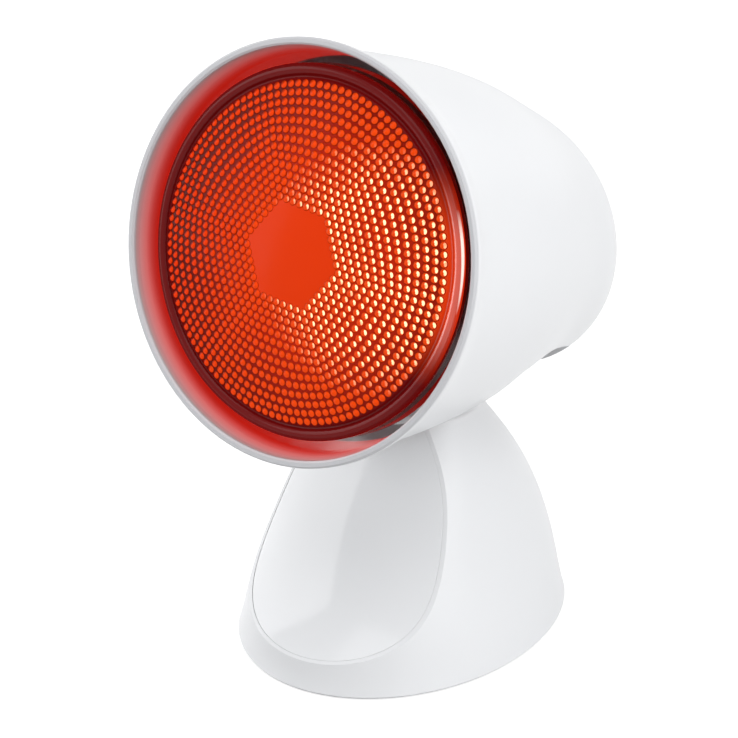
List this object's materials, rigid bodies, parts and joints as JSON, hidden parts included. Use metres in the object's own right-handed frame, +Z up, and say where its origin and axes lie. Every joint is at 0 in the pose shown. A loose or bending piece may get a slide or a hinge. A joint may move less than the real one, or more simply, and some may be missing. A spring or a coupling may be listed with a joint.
{
  "type": "infrared heat therapy lamp",
  "caption": "Table-top infrared heat lamp: a bell-shaped head with a red pressed-glass reflector bulb tilts on the neck of a weighted base with a sweeping front panel.",
  "frame": {"origin": "under the middle of the lamp's length and width, on the surface it stands on", "axes": "+Z up, the lamp shines towards -Y, +X is on the right of someone who faces the red lens"},
  "size_m": [0.1374, 0.1654, 0.225],
  "materials": {
    "white_plastic": "satin gloss white",
    "cover_plastic": "high gloss white",
    "underside_plastic": "matt light grey",
    "white_matte": "matt white",
    "black_plastic": "black",
    "bearing_plastic": "natural",
    "terminal_plastic": "natural",
    "pad_rubber": "matt",
    "lead_rubber": "matt sheath",
    "cast_iron": "rough",
    "steel": "plated",
    "zinc_steel": "zinc plated sheet",
    "contact_brass": "plain",
    "cap_metal": "nickelled",
    "ceramic": "glazed porcelain",
    "red_glass": "ruby red pressed glass",
    "silvered_glass": "silvered inside",
    "black_glass": "black"
  },
  "bodies": {
    "base": {"base_shell": "white_plastic", "front_cover": "cover_plastic", "bottom_plate": "underside_plastic", "base_screws": "steel", "foot_pads": "pad_rubber", "ballast": "cast_iron", "terminal_block": "terminal_plastic", "neck_lead": "lead_rubber", "neck_grommet": "pad_rubber", "switch_body": "black_plastic", "switch_blades": "contact_brass", "cable_bush": "white_matte", "click_ring": "bearing_plastic"},
    "rocker": {"rocker": "black_plastic"},
    "head": {"head_shell": "white_plastic", "bulb_lens": "red_glass", "bulb_reflector": "silvered_glass", "bulb_cap": "cap_metal", "cap_insulator": "black_glass", "cap_contact": "contact_brass", "lampholder": "ceramic", "lamp_sleeve": "contact_brass", "centre_contact": "contact_brass", "lamp_bracket": "zinc_steel", "tilt_axle": "steel", "axle_nut": "steel", "click_spring": "steel", "spring_rivet": "steel", "shell_screws": "steel", "holder_screws": "steel", "lamp_lead": "lead_rubber"}
  },
  "joints": [
    {"name": "head_tilt", "type": "hinge", "parent": "base", "child": "head", "pos_m": [0, 0.0021, 0.095], "axis": [1, 0, 0], "range_deg": [-20, 20]},
    {"name": "rocker_switch", "type": "hinge", "parent": "base", "child": "rocker", "pos_m": [0, 0.05149, 0.03222], "axis": [1, 0, 0], "range_deg": [0, 16]}
  ]
}
